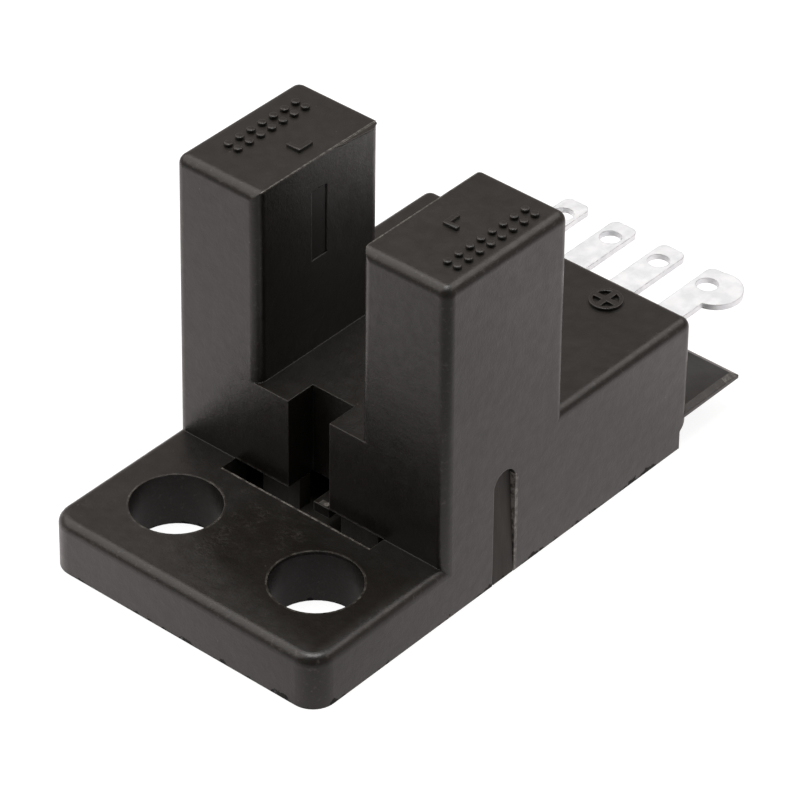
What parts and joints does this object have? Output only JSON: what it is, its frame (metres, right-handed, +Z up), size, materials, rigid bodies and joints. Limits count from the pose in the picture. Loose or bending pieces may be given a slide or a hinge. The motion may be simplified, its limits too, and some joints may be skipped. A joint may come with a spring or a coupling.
{
  "type": "slotted optical switch",
  "caption": "Slotted light barrier: black moulded case with upright arms either side of a sensing slot, a screw flange in front and eyelet blade terminals behind.",
  "frame": {"origin": "midway between the two screw holes, on the underside of the flange", "axes": "+X across the sensing slot, +Y from the screw flange back to the terminals, +Z up out of the mounting surface"},
  "size_m": [0.0134, 0.028, 0.015],
  "materials": {
    "case_plastic": "black glass-filled moulding, finely textured",
    "cover_plastic": "black moulding, matt",
    "terminal_metal": "tin-plated brass, satin",
    "lead_metal": "tin-plated lead frame",
    "solder": "solder, bright",
    "board_laminate": "glass laminate under green resist",
    "emitter_resin": "tinted clear resin",
    "receiver_resin": "dark filter resin",
    "window_resin": "dark moulding that lets infrared through, smooth",
    "chip_resin": "moulded resin",
    "brick_ceramic": "ceramic with tinned ends"
  },
  "bodies": {
    "root": {"case": "case_plastic", "base_cover": "cover_plastic", "circuit_board": "board_laminate", "infrared_emitter": "emitter_resin", "light_receiver": "receiver_resin", "emitter_window": "window_resin", "receiver_window": "window_resin", "emitter_anode_lead": "lead_metal", "emitter_cathode_lead": "lead_metal", "receiver_supply_lead": "lead_metal", "receiver_output_lead": "lead_metal", "receiver_ground_lead": "lead_metal", "terminal_1": "terminal_metal", "terminal_2": "terminal_metal", "terminal_3": "terminal_metal", "terminal_4": "terminal_metal", "amplifier_chip": "chip_resin", "output_transistor": "chip_resin", "protection_diode": "chip_resin", "emitter_resistor": "brick_ceramic", "output_resistor": "brick_ceramic", "feedback_resistor": "brick_ceramic", "supply_capacitor": "brick_ceramic", "lead_solder": "solder", "terminal_solder": "solder"}
  },
  "joints": []
}
